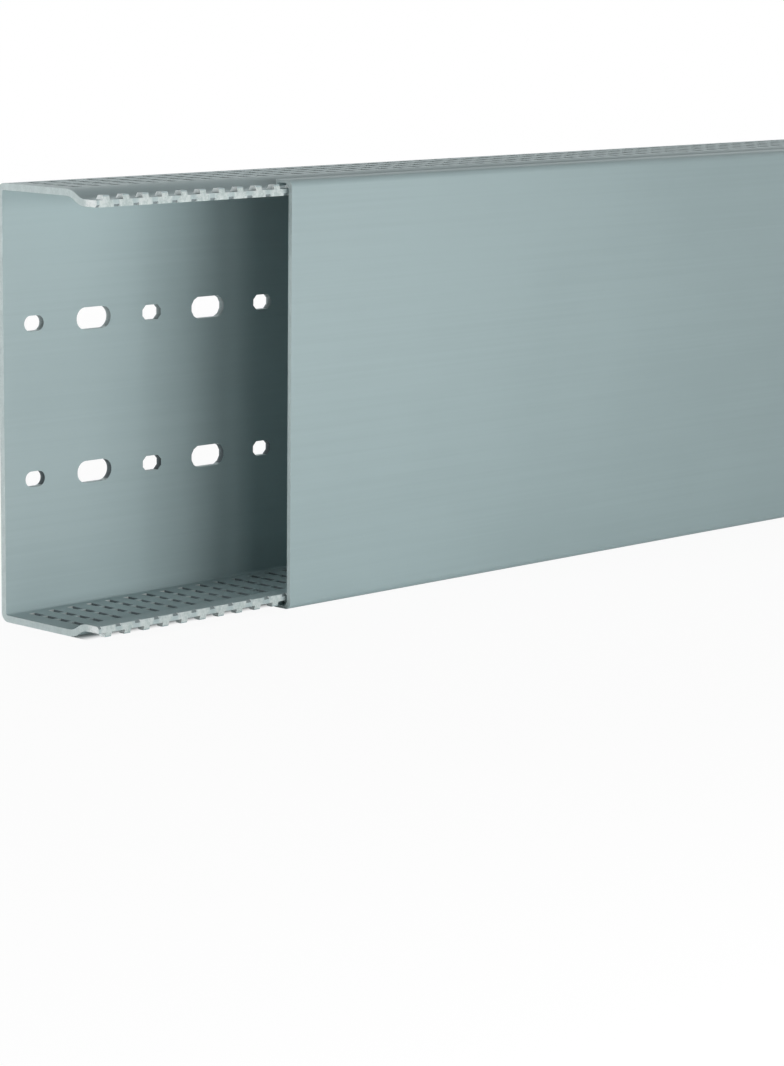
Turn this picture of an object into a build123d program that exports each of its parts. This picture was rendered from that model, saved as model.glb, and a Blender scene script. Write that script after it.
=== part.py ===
from build123d import *
import math
import os

os.makedirs("parts", exist_ok=True)

# Sizes in mm. X runs along the duct, the open front with its cover faces -Y, Z is up.
# The duct stands on one slotted side wall, so its back wall is upright.

length = 500.0
duct_width = 140.0
duct_depth = 50.0
cover_setback = 80.0

back_thickness = 2.2
wall_thickness = 2.2
back_corner_radius = 3.0
inner_corner_radius = 0.8

# Depths are counted from the outer face of the back wall, insets from the outer face of a side.
bend_run = 9.0
lip_step = 2.8
play = 0.3
front_gap = 1.0

cover_thickness = 1.7
cover_corner_radius = 2.3
cover_corner_fill = 1.3
leg_thickness = 1.05
leg_gap = 0.4
barb_width = 1.0
barb_height = 1.05
barb_slope = 0.4

finger_pitch = 8.0
tooth_width = 2.6
tooth_root = 3.6
tooth_crown = 1.6
tooth_nose = 1.0

slot_width = 2.4
slot_length = 5.2
slot_pitch = 6.5
first_slot = 5.3

hole_pitch = 25.0
hole_row_spacing = 50.0
small_hole_length = 8.0
small_hole_width = 5.0
small_hole_sides = 8
large_hole_length = 14.5
large_hole_width = 7.2
large_hole_sides = 12

# Places worked out from the sizes above.
left_end = -(length + cover_setback) / 2
right_end = left_end + length
cover_left = left_end + cover_setback
mid_height = duct_width / 2
crown_inset = leg_thickness + play
nose_depth = duct_depth - cover_thickness - front_gap
barb_front = nose_depth - tooth_root - play
leg_tip = barb_front - barb_width
bend_end = leg_tip - leg_gap
bend_start = bend_end - bend_run
side_slot_count = math.floor((length - slot_width) / finger_pitch)
slots_per_column = math.floor((bend_start - first_slot - slot_length) / slot_pitch) + 1
tooth_count = math.floor((length - tooth_width / 2) / finger_pitch + 0.5)
hole_count = math.floor(length / hole_pitch)


def spot(depth, inset):
    """Turns a depth and an inset into the section's own Y and Z."""
    return (duct_depth / 2 - depth, inset)


def section_arc(centre_depth, centre_inset, radius, first, last):
    """An arc of the section, with its angles in degrees from the depth direction."""
    points = []
    for share in (0.0, 0.5, 1.0):
        angle = math.radians(first + (last - first) * share)
        depth = centre_depth + radius * math.cos(angle)
        inset = centre_inset + radius * math.sin(angle)
        points.append(spot(depth, inset))
    return ThreePointArc(*points)


def section_line(*places):
    """Straight runs through places given as depth and inset."""
    points = [spot(depth, inset) for depth, inset in places]
    return [Line(points[i], points[i + 1]) for i in range(len(points) - 1)]


def whole_section(half):
    """Closes half a section with its mirror image over the mid height."""
    mid_plane = Plane(origin=(0, mid_height, 0), z_dir=(0, 1, 0))
    outline = Curve() + half
    return make_face(outline + mirror(outline, about=mid_plane))


def trough_section():
    """The trough's section, with the hooked bead whole along both lips."""
    swing = math.degrees(2 * math.atan(lip_step / bend_run))
    mid_radius = (bend_run ** 2 + lip_step ** 2) / (4 * lip_step)
    wide = mid_radius + wall_thickness / 2
    tight = mid_radius - wall_thickness / 2
    first_centre = wall_thickness / 2 + mid_radius
    second_centre = wall_thickness / 2 + lip_step - mid_radius
    lip_inner = lip_step + wall_thickness
    root_back = nose_depth - tooth_root
    crown_back = nose_depth - tooth_nose - tooth_crown
    half = section_line((0, mid_height), (0, back_corner_radius))
    half += [section_arc(back_corner_radius, back_corner_radius, back_corner_radius, 180, 270)]
    half += section_line((back_corner_radius, 0), (bend_start, 0))
    half += [section_arc(bend_start, first_centre, wide, -90, -90 + swing)]
    half += [section_arc(bend_end, second_centre, tight, 90 + swing, 90)]
    half += section_line((bend_end, lip_step), (root_back, lip_step), (crown_back, crown_inset),
                         (nose_depth - tooth_nose, crown_inset), (nose_depth, lip_step),
                         (nose_depth, lip_inner), (bend_end, lip_inner))
    half += [section_arc(bend_end, second_centre, wide, 90, 90 + swing)]
    half += [section_arc(bend_start, first_centre, tight, -90 + swing, -90)]
    corner = inner_corner_radius
    half += section_line((bend_start, wall_thickness), (back_thickness + corner, wall_thickness))
    half += [section_arc(back_thickness + corner, wall_thickness + corner, corner, 270, 180)]
    half += section_line((back_thickness, wall_thickness + corner), (back_thickness, mid_height))
    return whole_section(half)


def cover_section():
    """The cover's section: a plate with two short legs and a barb at each leg's tip."""
    radius = cover_corner_radius
    plate_inner = duct_depth - cover_thickness
    barb_top = leg_thickness + barb_height
    half = section_line((duct_depth, mid_height), (duct_depth, radius))
    half += [section_arc(duct_depth - radius, radius, radius, 0, -90)]
    half += section_line((duct_depth - radius, 0), (leg_tip, 0), (leg_tip, barb_top - barb_slope),
                         (leg_tip + barb_slope, barb_top), (barb_front - barb_slope, barb_top),
                         (barb_front, leg_thickness),
                         (plate_inner - cover_corner_fill, leg_thickness),
                         (plate_inner, leg_thickness + cover_corner_fill), (plate_inner, mid_height))
    return whole_section(half)


def block(x_range, depth_range, z_range):
    """A plain box between two places along each direction, used as a punch."""
    size = [x_range[1] - x_range[0], depth_range[1] - depth_range[0], z_range[1] - z_range[0]]
    middle = (x_range[0] + size[0] / 2, duct_depth / 2 - depth_range[0] - size[1] / 2, z_range[0] + size[2] / 2)
    return Pos(*middle) * Box(*size)


def side_slots():
    """Punches for the rows of short slots, each going through both side walls."""
    punches = []
    for column in range(1, side_slot_count + 1):
        middle = left_end + column * finger_pitch
        x_range = (middle - slot_width / 2, middle + slot_width / 2)
        for row in range(slots_per_column):
            start = first_slot + row * slot_pitch
            punches.append(block(x_range, (start, start + slot_length), (-1, duct_width + 1)))
    return punches


def lip_notches():
    """Punches that part the bead along each lip into single hooked teeth."""
    punches = []
    for place in range(tooth_count + 1):
        middle = left_end + (place - 0.5) * finger_pitch
        start = max(middle + tooth_width / 2, left_end - 1)
        end = min(middle + finger_pitch - tooth_width / 2, right_end + 1)
        bead = (bend_end, nose_depth + 1)
        punches.append(block((start, end), bead, (-1, lip_step)))
        punches.append(block((start, end), bead, (duct_width - lip_step, duct_width + 1)))
    return punches


def plain_long_hole(overall, width, sides):
    """A long hole's outline with its round ends given as flats that touch the true circle."""
    reach = (overall - width) / 2
    end = Rot(0, 0, 180 / sides) * RegularPolygon(width / 2, sides, major_radius=False)
    return Pos(-reach, 0) * end + Rectangle(2 * reach, width) + Pos(reach, 0) * end


def fixing_holes():
    """Punches for the two rows of holes in the back wall, small and large by turns.

    Screws go through the holes at both ends and beside the middle, so these have true round ends.
    """
    middle = hole_count // 2
    screwed = (0, 1, middle - 1, middle + 1, hole_count - 2, hole_count - 1)
    sizes = ((small_hole_length, small_hole_width, small_hole_sides),
             (large_hole_length, large_hole_width, large_hole_sides))
    punches = []
    for station in range(hole_count):
        x = left_end + hole_pitch * (station + 0.5)
        overall, width, sides = sizes[station % 2]
        if station in screwed:
            outline = SlotOverall(overall, width)
        else:
            outline = plain_long_hole(overall, width, sides)
        for side in (-1, 1):
            z = mid_height + side * hole_row_spacing / 2
            plane = Plane(origin=(x, duct_depth / 2 + 1, z), x_dir=(1, 0, 0), z_dir=(0, -1, 0))
            punches.append(extrude(plane * outline, amount=back_thickness + 2))
    return punches


def duct_trough():
    """The open trough, extruded and then punched."""
    body = extrude(Plane.YZ.offset(left_end) * trough_section(), amount=length)
    return body - (side_slots() + lip_notches() + fixing_holes())


def duct_cover():
    """The clip-on cover, set back from the trough's left end."""
    return extrude(Plane.YZ.offset(cover_left) * cover_section(), amount=length)


export_step(duct_trough(), "parts/duct_trough.step")
export_step(duct_cover(), "parts/duct_cover.step")
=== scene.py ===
import bpy
import math
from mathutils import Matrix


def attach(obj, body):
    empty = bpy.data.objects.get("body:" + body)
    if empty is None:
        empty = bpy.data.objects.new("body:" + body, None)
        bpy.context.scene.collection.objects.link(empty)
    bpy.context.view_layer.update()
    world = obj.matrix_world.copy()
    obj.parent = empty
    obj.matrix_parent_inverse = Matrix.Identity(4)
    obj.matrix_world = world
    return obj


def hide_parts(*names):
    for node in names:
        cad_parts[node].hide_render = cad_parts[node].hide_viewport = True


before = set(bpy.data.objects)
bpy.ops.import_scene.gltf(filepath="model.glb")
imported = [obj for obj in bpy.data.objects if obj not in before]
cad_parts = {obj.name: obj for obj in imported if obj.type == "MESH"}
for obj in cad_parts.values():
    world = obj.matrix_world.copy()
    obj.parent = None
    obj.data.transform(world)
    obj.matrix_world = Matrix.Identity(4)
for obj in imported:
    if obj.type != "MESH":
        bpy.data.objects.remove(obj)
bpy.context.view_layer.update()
print("solids loaded")

duct = {  # places that more than one piece or finish uses, in metres
    "troughMiddle": -0.04,
    "coverMiddle": 0.04,
    "halfLength": 0.25,
    "midHeight": 0.07,
    "lipEdge": -0.0223,  # front edge of both lips
    "firstGroove": -0.29,  # grooves and slot columns stand in line, between the hooks
    "pitch": 0.008,
}


def newNode(tree, kind, values=None, **settings):
    node = tree.nodes.new(kind)
    for name, value in settings.items():
        setattr(node, name, value)
    for name, value in (values or {}).items():
        node.inputs[name].default_value = value
    return node


def join(tree, source, target):
    tree.links.new(source, target)


def feed(tree, value, socket):
    # a number is set on the socket, anything else is wired to it
    if isinstance(value, (int, float)):
        socket.default_value = value
    else:
        join(tree, value, socket)


def mathNode(tree, operation, first, second=None, clamp=False):
    node = newNode(tree, "ShaderNodeMath", operation=operation, use_clamp=clamp)
    feed(tree, first, node.inputs[0])
    if second is not None:
        feed(tree, second, node.inputs[1])
    return node.outputs[0]


def smoothStep(tree, value, low, high):
    limits = {"From Min": low, "From Max": high}
    node = newNode(tree, "ShaderNodeMapRange", limits, interpolation_type="SMOOTHSTEP")
    join(tree, value, node.inputs["Value"])
    return node.outputs["Result"]


def mixColour(tree, factor, first, second):
    node = newNode(tree, "ShaderNodeMix", data_type="RGBA")
    join(tree, factor, node.inputs[0])
    join(tree, first, node.inputs[6])
    join(tree, second, node.inputs[7])
    return node.outputs[2]


def mixValue(tree, factor, first, second):
    node = newNode(tree, "ShaderNodeMix", data_type="FLOAT")
    join(tree, factor, node.inputs[0])
    feed(tree, first, node.inputs[2])
    feed(tree, second, node.inputs[3])
    return node.outputs[0]


def noiseOn(tree, vector, stretch, scale, detail, rough):
    mapping = newNode(tree, "ShaderNodeMapping", {"Scale": stretch})
    values = {"Scale": scale, "Detail": detail, "Roughness": rough}
    noise = newNode(tree, "ShaderNodeTexNoise", values)
    join(tree, vector, mapping.inputs["Vector"])
    join(tree, mapping.outputs[0], noise.inputs["Vector"])
    return noise.outputs["Fac"]


def newGroup(name, inputs, outputs):
    group = bpy.data.node_groups.new(name, "ShaderNodeTree")
    for direction, sockets in (("INPUT", inputs), ("OUTPUT", outputs)):
        for label, kind, value in sockets:
            socket = group.interface.new_socket(name=label, in_out=direction,
                                                socket_type="NodeSocket" + kind)
            if direction == "INPUT":
                socket.default_value = value
    given = group.nodes.new("NodeGroupInput").outputs
    put = group.nodes.new("NodeGroupOutput").inputs
    return group, given, put


skinGrain = {  # each noise: stretch along the axes, scale, detail, roughness
    "clouds": ((1.0, 1.6, 1.6), 14.0, 3.0, 0.5),
    "dieLines": ((0.9, 90.0, 90.0), 9.0, 2.0, 0.55),  # drawn along the extrusion
    "peel": ((1.0, 1.0, 1.0), 900.0, 2.0, 0.5),  # faint skin texture
    "cloudShare": 0.6,
    "lineShare": 0.4,
    "toneRange": (0.35, 0.65),
    "cloudRoughness": 0.18,
    "lineRoughness": 0.12,
    "peelHeight": 0.3,
}


def buildExtrudedSkin():
    group, given, put = newGroup(
        "extrudedSkin",
        [("Light Tone", "Color", (0.4, 0.45, 0.46, 1)), ("Dark Tone", "Color", (0.34, 0.39, 0.4, 1)),
         ("Drawn Lines", "Float", 0.5), ("Shine", "Float", 0.4)],
        [("Color", "Color", None), ("Roughness", "Float", None), ("Height", "Float", None)])

    def calc(operation, first, second=None, clamp=False):
        return mathNode(group, operation, first, second, clamp)

    place = newNode(group, "ShaderNodeTexCoord").outputs["Object"]
    clouds = noiseOn(group, place, *skinGrain["clouds"])
    dieLines = noiseOn(group, place, *skinGrain["dieLines"])
    peel = noiseOn(group, place, *skinGrain["peel"])
    blend = calc("ADD", calc("MULTIPLY", clouds, skinGrain["cloudShare"]),
                 calc("MULTIPLY", dieLines, skinGrain["lineShare"]))
    tone = smoothStep(group, blend, *skinGrain["toneRange"])
    join(group, mixColour(group, tone, given["Dark Tone"], given["Light Tone"]), put["Color"])
    rub = calc("MULTIPLY", calc("SUBTRACT", clouds, 0.5), skinGrain["cloudRoughness"])
    streak = calc("MULTIPLY", calc("SUBTRACT", dieLines, 0.5), skinGrain["lineRoughness"])
    uneven = calc("ADD", rub, streak)
    join(group, calc("ADD", given["Shine"], uneven, clamp=True), put["Roughness"])
    ridges = calc("MULTIPLY", dieLines, given["Drawn Lines"])
    dimples = calc("MULTIPLY", peel, skinGrain["peelHeight"])
    join(group, calc("ADD", ridges, dimples), put["Height"])
    return group


cutZones = {  # which faces count as cut, by how they are turned and where they lie
    "endFacing": (0.3, 0.6),  # turned along the duct: starts to count, counts in full
    "frontFacing": 0.9,
    "slantFacing": 0.5,
    "endDepth": 0.0005,  # of a sawn end with its rounding
    "hooksFrom": (0.0158, 0.0188),  # forward of the middle: whitening starts, is full
    "edgeBand": 0.0003,
    "shadeBesideGroove": (0.0006, 0.002),  # from a groove: the painted shade on the edge ends, the edge is white
    "slotRows": (-0.0065, 0.021),  # front and back of the rows of slots
    # depths where the slot tips get a painted highlight
    "litFirstRow": (0.012, 0.019),
    "insideLips": 0.0673,
    "grooveFront": -0.0212,
}
cutLook = {
    "saw": ((1.0, 1.0, 0.5), 420.0, 4.0, 0.6),  # noises as in skinGrain
    "chips": ((1.0, 1.0, 1.0), 1500.0, 2.0, 0.6),
    "sawShare": 0.6,
    "chipShare": 0.4,
    "speckle": (0.36, 0.62),
    "ragged": 0.003,
    "edgeWhite": (0.45, 0.55),  # least whitening of the lips' edge, where shade is painted next to the grooves, and more away from grooves
    "hookWhite": (0.4, 0.55),  # least whitening of the hooks, and more with the speckle
    "upperSlots": 0.5,  # more light gets into the upper wall's slots
    "tornFrom": 0.01,
    # share of painted shade in the grooves
    "grooveShade": 0.7,
    "roughness": (0.5, 0.85),
    "relief": 1.6,
}


def buildCutFaces():
    group, given, put = newGroup(
        "cutFaces",
        [("Sawn Light", "Color", (0.5, 0.57, 0.57, 1)), ("Sawn Dark", "Color", (0.42, 0.49, 0.49, 1)),
         ("Torn Light", "Color", (0.76, 0.82, 0.82, 1)), ("Torn Dark", "Color", (0.5, 0.57, 0.58, 1)),
         # the colour for slot walls and grooves, on the next line, is painted shade
         ("Hook Sides", "Color", (0.8, 0.85, 0.85, 1)), ("Recess Shade", "Color", (0.24, 0.29, 0.29, 1)),
         ("Middle", "Float", duct["troughMiddle"]), ("Lip Edge", "Float", duct["lipEdge"])],
        [("Mask", "Float", None), ("Color", "Color", None),
         ("Roughness", "Float", None), ("Height", "Float", None)])

    def calc(operation, first, second=None):
        return mathNode(group, operation, first, second)

    def both(first, second):
        return calc("MULTIPLY", first, second)

    spots = newNode(group, "ShaderNodeTexCoord")
    turned = newNode(group, "ShaderNodeSeparateXYZ")
    placed = newNode(group, "ShaderNodeSeparateXYZ")
    join(group, spots.outputs["Normal"], turned.inputs[0])
    join(group, spots.outputs["Object"], placed.inputs[0])
    along, depth, height = (placed.outputs[axis] for axis in "XYZ")
    turnedAlong, turnedFront, turnedUp = (calc("ABSOLUTE", turned.outputs[axis]) for axis in "XYZ")

    # sawn ends, and the walls and tips of the punched slots
    facesEnd = smoothStep(group, turnedAlong, *cutZones["endFacing"])
    facesFront = calc("GREATER_THAN", turnedFront, cutZones["frontFacing"])
    fromMiddle = calc("ABSOLUTE", calc("SUBTRACT", along, given["Middle"]))
    atEnd = calc("GREATER_THAN", fromMiddle, duct["halfLength"] - cutZones["endDepth"])
    slotWalls = both(facesEnd, calc("SUBTRACT", 1.0, atEnd))
    rowsFront, rowsBack = cutZones["slotRows"]
    inRows = both(calc("GREATER_THAN", depth, rowsFront), calc("LESS_THAN", depth, rowsBack))
    tips = both(inRows, facesFront)
    litFirstRow = smoothStep(group, depth, *cutZones["litFirstRow"])
    upperWall = calc("GREATER_THAN", height, duct["midHeight"])

    # hooks, the lips' torn front edge and the grooves in it
    forward = calc("MULTIPLY", depth, -1.0)
    hookSides = both(facesEnd, smoothStep(group, forward, *cutZones["hooksFrom"]))
    fromEdge = calc("ABSOLUTE", calc("SUBTRACT", depth, given["Lip Edge"]))
    lipEdge = both(calc("LESS_THAN", fromEdge, cutZones["edgeBand"]), facesFront)
    slanted = both(calc("GREATER_THAN", turnedUp, cutZones["slantFacing"]),
                   calc("GREATER_THAN", turnedFront, cutZones["slantFacing"]))
    fromMidHeight = calc("ABSOLUTE", calc("SUBTRACT", height, duct["midHeight"]))
    insideLips = calc("LESS_THAN", fromMidHeight, cutZones["insideLips"])
    atFront = calc("LESS_THAN", depth, cutZones["grooveFront"])
    groove = both(slanted, both(insideLips, atFront))

    saw = noiseOn(group, spots.outputs["Object"], *cutLook["saw"])
    chips = noiseOn(group, spots.outputs["Object"], *cutLook["chips"])
    grain = calc("ADD", calc("MULTIPLY", saw, cutLook["sawShare"]),
                 calc("MULTIPLY", chips, cutLook["chipShare"]))
    speckle = smoothStep(group, grain, *cutLook["speckle"])
    fromGroove = calc("PINGPONG", calc("SUBTRACT", along, duct["firstGroove"]), duct["pitch"] / 2)
    ragged = calc("MULTIPLY", calc("SUBTRACT", saw, 0.5), cutLook["ragged"])
    # the lips' edge stays grey next to each groove: painted shade
    besideGroove = smoothStep(group, calc("ADD", fromGroove, ragged), *cutZones["shadeBesideGroove"])
    leastWhite, moreWhite = cutLook["edgeWhite"]
    edgeWhite = calc("ADD", calc("MULTIPLY", besideGroove, moreWhite), leastWhite)
    torn = calc("MAXIMUM", hookSides, both(lipEdge, edgeWhite))

    # one zone's colour over the other
    sawnColour = mixColour(group, speckle, given["Sawn Dark"], given["Sawn Light"])
    tornColour = mixColour(group, speckle, given["Torn Dark"], given["Torn Light"])
    # painted highlight: tips in the first row of slots are light, those of the other rows sawn
    tipHighlight = mixColour(group, litFirstRow, given["Sawn Dark"], given["Torn Light"])
    # painted shade: the slot walls get a dark colour, less of it in the upper wall's slots
    lifted = calc("MULTIPLY", upperWall, cutLook["upperSlots"])
    slotShadeColour = mixColour(group, lifted, given["Recess Shade"], given["Sawn Dark"])
    colour = mixColour(group, slotWalls, sawnColour, slotShadeColour)
    colour = mixColour(group, tips, colour, tipHighlight)
    onTorn = calc("GREATER_THAN", torn, cutLook["tornFrom"])
    colour = mixColour(group, torn, mixColour(group, onTorn, colour, sawnColour), tornColour)
    leastWhite, moreWhite = cutLook["hookWhite"]
    hookWhite = calc("ADD", calc("MULTIPLY", speckle, moreWhite), leastWhite)
    colour = mixColour(group, both(hookSides, hookWhite), colour, given["Hook Sides"])
    # painted shade in the grooves along the lips' edge
    grooveShading = calc("MULTIPLY", groove, cutLook["grooveShade"])
    colour = mixColour(group, grooveShading, colour, given["Recess Shade"])

    rough = calc("MAXIMUM", torn, groove)
    plain = calc("MAXIMUM", facesEnd, tips)
    join(group, calc("MAXIMUM", rough, plain), put["Mask"])
    join(group, colour, put["Color"])
    join(group, mixValue(group, saw, *cutLook["roughness"]), put["Roughness"])
    join(group, calc("MULTIPLY", grain, cutLook["relief"]), put["Height"])
    return group


extrudedSkin = buildExtrudedSkin()
cutFaces = buildCutFaces()
print("skin and cut faces ready")

plastic = {
    "ior": 1.52,
    "bumpStrength": 0.25,
    "bumpDistance": 0.00012,
}


def ductPlastic(name, finish):
    material = bpy.data.materials.new(name)
    material.use_nodes = True
    tree = material.node_tree
    shader = tree.nodes["Principled BSDF"]
    shader.inputs["IOR"].default_value = plastic["ior"]
    shader.inputs["Specular IOR Level"].default_value = finish["specular"]
    skin = newNode(tree, "ShaderNodeGroup", node_tree=extrudedSkin)
    cut = newNode(tree, "ShaderNodeGroup", node_tree=cutFaces)
    for effect in (skin, cut):
        for socket in effect.inputs:
            socket.default_value = finish[socket.name]
    mask = cut.outputs["Mask"]
    colour = mixColour(tree, mask, skin.outputs["Color"], cut.outputs["Color"])
    rough = mixValue(tree, mask, skin.outputs["Roughness"], cut.outputs["Roughness"])
    relief = mixValue(tree, mask, skin.outputs["Height"], cut.outputs["Height"])
    values = {"Strength": plastic["bumpStrength"], "Distance": plastic["bumpDistance"]}
    bump = newNode(tree, "ShaderNodeBump", values)
    join(tree, colour, shader.inputs["Base Color"])
    join(tree, rough, shader.inputs["Roughness"])
    join(tree, relief, bump.inputs["Height"])
    join(tree, bump.outputs[0], shader.inputs["Normal"])
    return material


meshing = {
    "mergeWithin": 0.000002,
    "endFacing": 0.99,
    "endWithin": 0.00005,
    "flatWithin": 0.01,  # radians
    "roundSegments": 2,
    "smoothAngle": 32,  # degrees
}


def choose(piece):
    bpy.ops.object.select_all(action="DESELECT")
    piece.select_set(True)
    bpy.context.view_layer.objects.active = piece


def refined(nodeName, pieceName, finish):
    # a merged copy of the solid's mesh, with its sawn ends rounded
    piece = bpy.data.objects.new(pieceName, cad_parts[nodeName].data.copy())
    bpy.context.scene.collection.objects.link(piece)
    choose(piece)
    bpy.ops.object.mode_set(mode="EDIT")
    bpy.ops.mesh.select_all(action="SELECT")
    bpy.ops.mesh.customdata_custom_splitnormals_clear()
    bpy.ops.mesh.remove_doubles(threshold=meshing["mergeWithin"])
    bpy.ops.mesh.select_all(action="DESELECT")
    bpy.ops.object.mode_set(mode="OBJECT")
    ends = [finish["Middle"] - duct["halfLength"], finish["Middle"] + duct["halfLength"]]
    for face in piece.data.polygons:
        fromEnd = min(abs(face.center.x - end) for end in ends)
        face.select = abs(face.normal.x) > meshing["endFacing"] and fromEnd < meshing["endWithin"]
    bpy.ops.object.mode_set(mode="EDIT")
    bpy.ops.mesh.select_mode(type="FACE")
    bpy.ops.mesh.dissolve_limited(angle_limit=meshing["flatWithin"])  # each end becomes one face
    bpy.ops.mesh.region_to_loop()
    bpy.ops.mesh.bevel(offset=finish["edgeRound"], offset_type="OFFSET",
                       segments=meshing["roundSegments"], profile=0.5, clamp_overlap=True)
    bpy.ops.mesh.select_all(action="DESELECT")
    bpy.ops.object.mode_set(mode="OBJECT")
    return piece


hookNose = {
    "back": -0.0213,
    "within": 0.00003,
    "crown": 0.0685,  # only the hooks reach this far from the mid height
    "shift": 0.0006,
}


def squareHooks(piece):
    # the hooks' noses are steeper than the plain solids have them
    for spot in piece.data.vertices:
        atBack = abs(spot.co.y - hookNose["back"]) < hookNose["within"]
        if atBack and abs(spot.co.z - duct["midHeight"]) > hookNose["crown"]:
            spot.co.y -= hookNose["shift"]


grooves = {
    "count": 63,
    "heights": (0.005, 0.135),  # inner corners of the lower and the upper lip
    "cutter": (0.0022, 0.0011, 0.0011),
    "turn": 45,  # degrees
}


def cutGrooves(piece):
    # short grooves between the hooks, along both lips' inner front corner
    spots = [(duct["firstGroove"] + place * duct["pitch"], duct["lipEdge"], height)
             for height in grooves["heights"] for place in range(grooves["count"])]
    shape = {"size": 1.0, "rotation": (math.radians(grooves["turn"]), 0, 0), "scale": grooves["cutter"]}
    bpy.ops.object.select_all(action="DESELECT")
    bpy.ops.mesh.primitive_cube_add(location=spots[0], **shape)
    cutter = bpy.context.object
    bpy.ops.object.transform_apply(location=True, rotation=True, scale=True)
    bpy.ops.object.mode_set(mode="EDIT")
    for spot in spots[1:]:
        bpy.ops.mesh.primitive_cube_add(location=spot, **shape)
    bpy.ops.object.mode_set(mode="OBJECT")
    choose(piece)
    groove = piece.modifiers.new("grooves", "BOOLEAN")
    groove.operation = "DIFFERENCE"
    groove.solver = "EXACT"
    groove.object = cutter
    bpy.ops.object.modifier_apply(modifier="grooves")
    bpy.data.objects.remove(cutter)


def smooth(piece):
    choose(piece)
    bpy.ops.object.shade_smooth_by_angle(angle=math.radians(meshing["smoothAngle"]))


def dress(piece, material, nodeName, bodyName):
    piece.data.materials.clear()
    piece.data.materials.append(material)
    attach(piece, bodyName)
    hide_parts(nodeName)


troughFinish = {
    "Light Tone": (0.38, 0.475, 0.485, 1),
    "Dark Tone": (0.358, 0.45, 0.46, 1),
    "Sawn Light": (0.56, 0.64, 0.64, 1),
    "Sawn Dark": (0.48, 0.56, 0.56, 1),
    "Torn Light": (0.62, 0.68, 0.67, 1),
    "Torn Dark": (0.42, 0.5, 0.49, 1),
    "Hook Sides": (0.84, 0.88, 0.88, 1),
    # painted shade for the slot walls and grooves
    "Recess Shade": (0.12, 0.15, 0.16, 1),
    "Middle": duct["troughMiddle"],
    "Lip Edge": duct["lipEdge"],
    "Drawn Lines": 0.5,
    "Shine": 0.5,
    "specular": 0.14,
    "edgeRound": 0.0002,
}
trough = refined("duct_trough", "troughShell", troughFinish)
squareHooks(trough)
cutGrooves(trough)
smooth(trough)
dress(trough, ductPlastic("troughPlastic", troughFinish), "duct_trough", "trough")
print("trough ready", len(trough.data.polygons))

coverFinish = {
    "Light Tone": (0.348, 0.444, 0.454, 1),
    "Dark Tone": (0.328, 0.42, 0.43, 1),
    "Sawn Light": (0.56, 0.64, 0.65, 1),
    "Sawn Dark": (0.5, 0.58, 0.59, 1),
    "Torn Light": (0.34, 0.405, 0.41, 1),
    "Torn Dark": (0.29, 0.35, 0.355, 1),
    "Hook Sides": (0.4, 0.475, 0.475, 1),
    # painted shade for slot walls and grooves
    "Recess Shade": (0.3, 0.36, 0.36, 1),
    "Middle": duct["coverMiddle"],
    "Lip Edge": -0.1,  # out of reach, the cover has no torn lip
    "Drawn Lines": 0.5,
    "Shine": 0.48,
    "specular": 0.22,
    "edgeRound": 0.0005,
}
cover = refined("duct_cover", "coverShell", coverFinish)
smooth(cover)
dress(cover, ductPlastic("coverPlastic", coverFinish), "duct_cover", "cover")
print("cover ready", len(cover.data.polygons))


studio = {
    "floorSize": 60.0,
    "floorColour": (0.9, 0.9, 0.9, 1),
    "floorGlow": 0.94,  # share of plain white that the camera sees on the floor near the duct
    "whiteFrom": 0.35,  # the floor fades to plain white between these distances
    "whiteAt": 1.4,
    "underDuct": (0.011, 0.0175),  # half depths where the floor's glow starts and is full
    "ambient": 0.065,
}
lamps = {  # place, point it faces, width, height, power
    "frontFarLeft": ((-0.53, -0.6, 0.095), (-0.95, 0.0, 0.08), 0.28, 0.18, 0.95),
    "frontLeft": ((-0.3, -0.6, 0.095), (-0.72, 0.0, 0.08), 0.28, 0.18, 1.05),
    "frontMiddle": ((-0.07, -0.6, 0.095), (-0.49, 0.0, 0.08), 0.28, 0.18, 0.9),
    "frontRight": ((0.16, -0.6, 0.095), (-0.26, 0.0, 0.08), 0.28, 0.18, 0.73),
    "leftSide": ((-1.3, 0.12, 0.23), (-0.29, 0.0, 0.07), 0.26, 0.4, 5.6),
    "rightSide": ((1.5, 0.0, 0.4), (0.29, 0.0, 0.07), 0.4, 0.4, 7.0),
    "top": ((0.0, 0.3, 1.3), (0.0, 0.0, 0.1), 0.9, 0.9, 2.7),
    "back": ((0.2, 1.4, 0.7), (0.0, 0.0, 0.07), 0.9, 0.9, 9.0),
}


def seenOrMirrored(tree):
    paths = newNode(tree, "ShaderNodeLightPath").outputs
    direct = mathNode(tree, "MAXIMUM", paths["Is Camera Ray"], paths["Is Glossy Ray"])
    return mathNode(tree, "MAXIMUM", direct, paths["Is Transmission Ray"])


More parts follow.
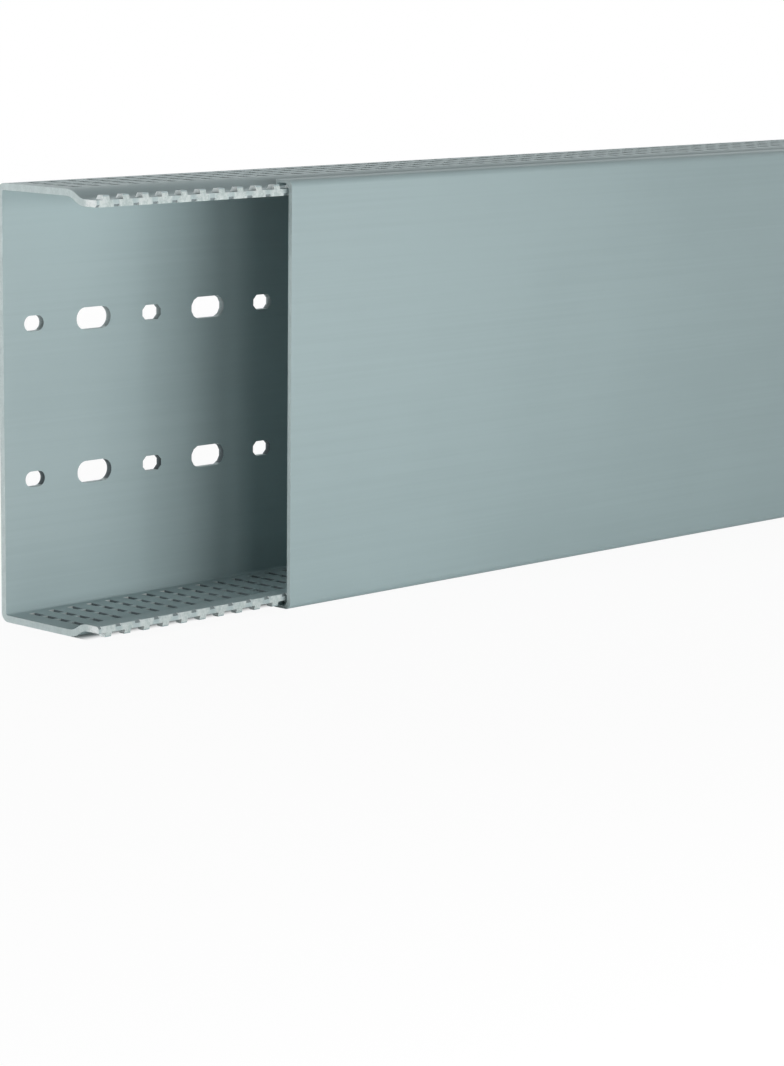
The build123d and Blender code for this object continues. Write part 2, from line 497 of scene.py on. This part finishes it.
def buildFloor():
    bpy.ops.object.select_all(action="DESELECT")
    bpy.ops.mesh.primitive_plane_add(size=studio["floorSize"], location=(0, 0, 0))
    floor = bpy.context.object
    floor.name = "floor"
    material = bpy.data.materials.new("paleFloor")
    material.use_nodes = True
    tree = material.node_tree
    tree.nodes.clear()

    def calc(operation, first, second=None):
        return mathNode(tree, operation, first, second)

    card = newNode(tree, "ShaderNodeBsdfDiffuse", {"Color": studio["floorColour"]})
    glow = newNode(tree, "ShaderNodeEmission", {"Strength": 1.0})
    blend = newNode(tree, "ShaderNodeMixShader")
    result = newNode(tree, "ShaderNodeOutputMaterial")
    spot = newNode(tree, "ShaderNodeSeparateXYZ")
    join(tree, newNode(tree, "ShaderNodeTexCoord").outputs["Object"], spot.inputs[0])
    along = calc("ABSOLUTE", spot.outputs["X"])
    outward = calc("ABSOLUTE", spot.outputs["Y"])
    away = calc("SQRT", calc("ADD", calc("POWER", along, 2.0), calc("POWER", outward, 2.0)))
    fade = smoothStep(tree, away, studio["whiteFrom"], studio["whiteAt"])
    white = calc("ADD", calc("MULTIPLY", fade, 1.0 - studio["floorGlow"]), studio["floorGlow"])
    fromTrough = calc("ABSOLUTE", calc("SUBTRACT", spot.outputs["X"], duct["troughMiddle"]))
    pastEnds = calc("GREATER_THAN", fromTrough, duct["halfLength"])
    beside = calc("MAXIMUM", pastEnds, smoothStep(tree, outward, *studio["underDuct"]))
    shown = calc("MULTIPLY", calc("MULTIPLY", seenOrMirrored(tree), white), beside)
    join(tree, shown, blend.inputs[0])
    join(tree, card.outputs[0], blend.inputs[1])
    join(tree, glow.outputs[0], blend.inputs[2])
    join(tree, blend.outputs[0], result.inputs[0])
    floor.data.materials.append(material)


def buildSurroundings():
    world = bpy.data.worlds.new("studioWorld")
    bpy.context.scene.world = world
    world.use_nodes = True
    tree = world.node_tree
    background = tree.nodes["Background"]
    background.inputs["Color"].default_value = (1, 1, 1, 1)
    strength = mixValue(tree, seenOrMirrored(tree), studio["ambient"], 1.0)
    join(tree, strength, background.inputs["Strength"])


def buildLamp(name, place, aim, width, height, power):
    lamp = bpy.data.lights.new(name + "Lamp", "AREA")
    lamp.shape = "RECTANGLE"
    lamp.size = width
    lamp.size_y = height
    lamp.energy = power
    holder = bpy.data.objects.new(name + "Lamp", lamp)
    bpy.context.scene.collection.objects.link(holder)
    holder.location = place
    away = [here - there for here, there in zip(place, aim)]
    tilt = math.atan2(math.hypot(away[0], away[1]), away[2])
    holder.rotation_euler = (tilt, 0, math.atan2(away[0], -away[1]))


buildFloor()
buildSurroundings()
for lampName, setting in lamps.items():
    buildLamp(lampName, *setting)
print("studio ready")


cameraSetup = {
    "place": (-0.9657, -0.8030, 0.2157),
    "turn": (80.069, -0.572, -45.814),  # degrees
    "lens": 114.176,
    "sensorWidth": 36.0,
    "clipEnd": 200.0,
}
lensData = bpy.data.cameras.new("photoCamera")
lensData.lens = cameraSetup["lens"]
lensData.sensor_width = cameraSetup["sensorWidth"]
lensData.clip_end = cameraSetup["clipEnd"]
camera = bpy.data.objects.new("photoCamera", lensData)
bpy.context.scene.collection.objects.link(camera)
camera.location = cameraSetup["place"]
camera.rotation_euler = [math.radians(angle) for angle in cameraSetup["turn"]]
bpy.context.scene.camera = camera
bpy.context.scene.view_settings.view_transform = "Standard"
print("camera ready")
